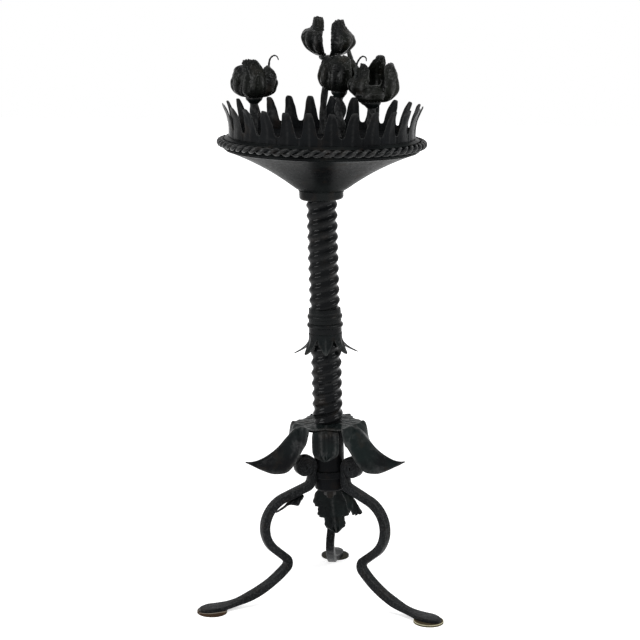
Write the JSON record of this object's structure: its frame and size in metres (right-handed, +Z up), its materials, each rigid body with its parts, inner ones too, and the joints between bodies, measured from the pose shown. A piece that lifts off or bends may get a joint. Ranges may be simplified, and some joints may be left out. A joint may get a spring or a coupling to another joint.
{
  "type": "torchere candle stand",
  "caption": "Wrought-iron floor stand: scrolled tripod legs, leaf canopy, twisted column and a trumpet pan with a crown of blades and upright blooms.",
  "frame": {"origin": "middle of the bounding box in plan, on the floor", "axes": "+Z up; -Y is the front, the side the picture shows; +X is to the right seen from the front"},
  "size_m": [0.4422, 0.4366, 1.0565],
  "materials": {
    "forged_bar": "black forged iron, waxed, with worn edges",
    "turned_iron": "black iron, satin, rubbed bright on the crests",
    "sheet_iron": "black iron sheet, satin, slightly mottled",
    "leaf_iron": "black beaten iron sheet, satin with pale worn ridges",
    "fasteners": "plain mild steel, dull",
    "pad_brown": "dull red-brown, worn at the rim",
    "pad_ochre": "dull ochre, worn at the rim",
    "pad_olive": "dull grey-green, worn at the rim"
  },
  "bodies": {
    "root": {"foot_pad_left": "pad_brown", "foot_pad_right": "pad_ochre", "foot_pad_rear": "pad_olive", "leg_left": "forged_bar", "leg_right": "forged_bar", "leg_rear": "forged_bar", "hub": "forged_bar", "hub_band": "forged_bar", "acanthus_left": "leaf_iron", "acanthus_right": "leaf_iron", "acanthus_rear": "leaf_iron", "canopy_plate": "sheet_iron", "sepal_left": "leaf_iron", "sepal_right": "leaf_iron", "sepal_rear": "leaf_iron", "canopy_bracts": "leaf_iron", "tie_rod": "fasteners", "bottom_nut": "fasteners", "bottom_washer": "fasteners", "shaft_lower": "turned_iron", "leaf_cuff": "leaf_iron", "ring_bead_lower": "turned_iron", "ring_bead_upper": "turned_iron", "shaft_upper": "turned_iron", "pan_collar": "turned_iron", "pan_cone": "sheet_iron", "pan_rim": "sheet_iron", "pan_floor": "sheet_iron", "top_washer": "fasteners", "top_nut": "fasteners", "rope_ring": "turned_iron", "crown": "sheet_iron", "stem_left": "forged_bar", "stem_top": "forged_bar", "stem_middle": "forged_bar", "stem_right": "forged_bar", "stem_nuts": "fasteners", "calyx_left": "leaf_iron", "calyx_top": "leaf_iron", "calyx_middle": "leaf_iron", "calyx_right": "leaf_iron", "petals_left": "leaf_iron", "petals_top": "leaf_iron", "petals_middle": "leaf_iron", "petals_right": "leaf_iron", "tendril_left": "leaf_iron", "tendril_right": "leaf_iron"}
  },
  "joints": []
}
